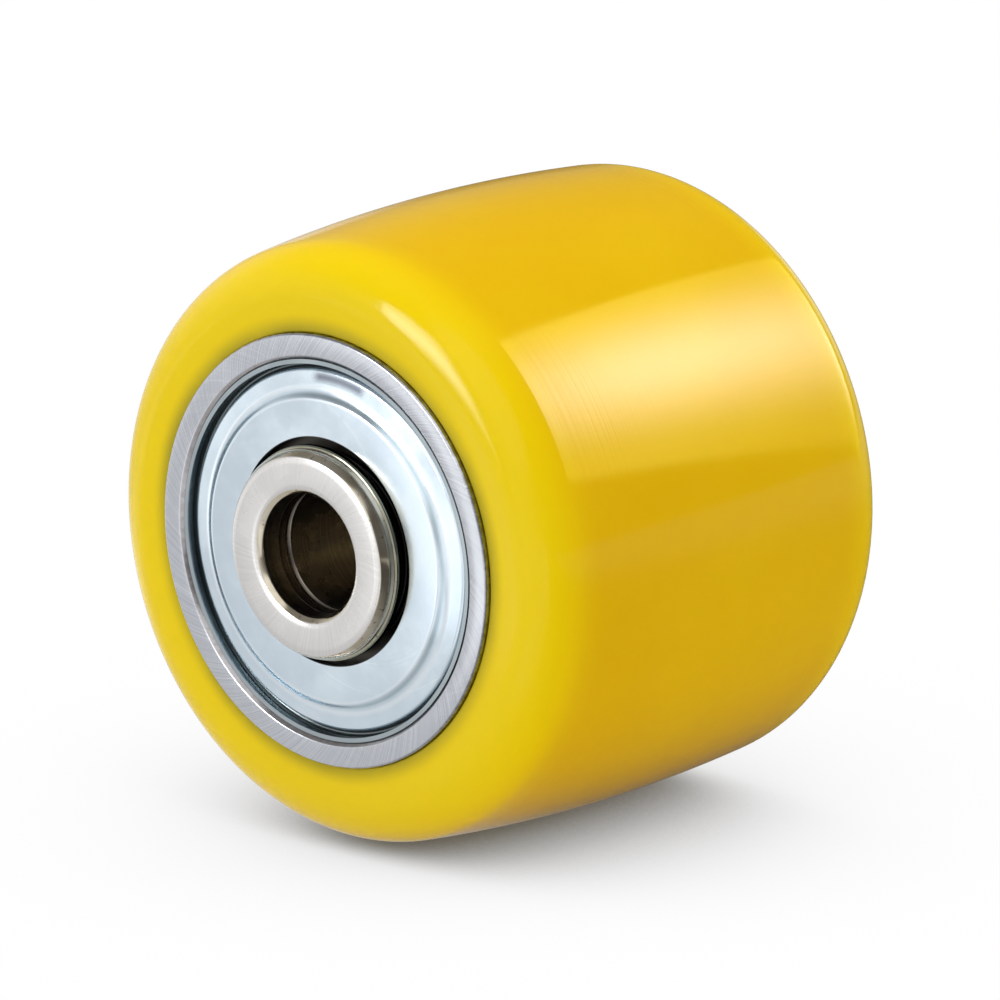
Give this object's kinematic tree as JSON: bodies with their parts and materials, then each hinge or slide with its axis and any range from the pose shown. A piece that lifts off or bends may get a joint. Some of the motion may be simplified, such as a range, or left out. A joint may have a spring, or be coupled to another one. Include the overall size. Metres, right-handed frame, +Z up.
{
  "type": "polyurethane load wheel",
  "caption": "Barrel-crowned polyurethane wheel on a steel hub, with ball bearings, pressed covers, thrust rings and a through bore for an axle.",
  "frame": {"origin": "centre of the wheel, on the spin axis midway between the two thrust faces", "axes": "+Z along the spin axis, towards the end shown in the picture; X and Y square to it. The wheel stands on its rear thrust ring with +Z up"},
  "size_m": [0.085, 0.085, 0.0764],
  "materials": {
    "polyurethane": "glossy cast polyurethane",
    "hub_steel": "turned",
    "zinc_plate": "bright zinc plated",
    "ground_steel": "ground face, polished shoulder",
    "bearing_steel": "ground and polished",
    "pressed_steel": "pressed",
    "turned_steel": "turned"
  },
  "bodies": {
    "axle_set": {"spacer_tube": "turned_steel", "front_thrust_ring": "ground_steel", "front_distance_ring": "turned_steel", "front_inner_ring": "bearing_steel", "rear_thrust_ring": "ground_steel", "rear_distance_ring": "turned_steel", "rear_inner_ring": "bearing_steel"},
    "wheel": {"tread": "polyurethane", "hub": "hub_steel", "front_outer_ring": "bearing_steel", "front_outer_shield": "pressed_steel", "front_inner_shield": "pressed_steel", "front_cover": "zinc_plate", "rear_outer_ring": "bearing_steel", "rear_outer_shield": "pressed_steel", "rear_inner_shield": "pressed_steel", "rear_cover": "zinc_plate"},
    "front_ball_set": {"front_outer_cage_half": "pressed_steel", "front_inner_cage_half": "pressed_steel", "front_cage_rivets": "pressed_steel", "front_ball_1": "bearing_steel", "front_ball_2": "bearing_steel", "front_ball_3": "bearing_steel", "front_ball_4": "bearing_steel", "front_ball_5": "bearing_steel", "front_ball_6": "bearing_steel", "front_ball_7": "bearing_steel"},
    "rear_ball_set": {"rear_outer_cage_half": "pressed_steel", "rear_inner_cage_half": "pressed_steel", "rear_cage_rivets": "pressed_steel", "rear_ball_1": "bearing_steel", "rear_ball_2": "bearing_steel", "rear_ball_3": "bearing_steel", "rear_ball_4": "bearing_steel", "rear_ball_5": "bearing_steel", "rear_ball_6": "bearing_steel", "rear_ball_7": "bearing_steel"}
  },
  "joints": [
    {"name": "wheel_spin", "type": "hinge", "parent": "axle_set", "child": "wheel", "pos_m": [0, 0, 0], "axis": [0, 0, 1], "continuous": true},
    {"name": "front_balls_roll", "type": "hinge", "parent": "axle_set", "child": "front_ball_set", "pos_m": [0, 0, 0.0257], "axis": [0, 0, 1], "continuous": true},
    {"name": "rear_balls_roll", "type": "hinge", "parent": "axle_set", "child": "rear_ball_set", "pos_m": [0, 0, -0.0257], "axis": [0, 0, 1], "continuous": true}
  ],
  "couplings": [
    {"joint": "front_balls_roll", "follows": "wheel_spin", "ratio": 0.6359},
    {"joint": "rear_balls_roll", "follows": "wheel_spin", "ratio": 0.6359}
  ]
}
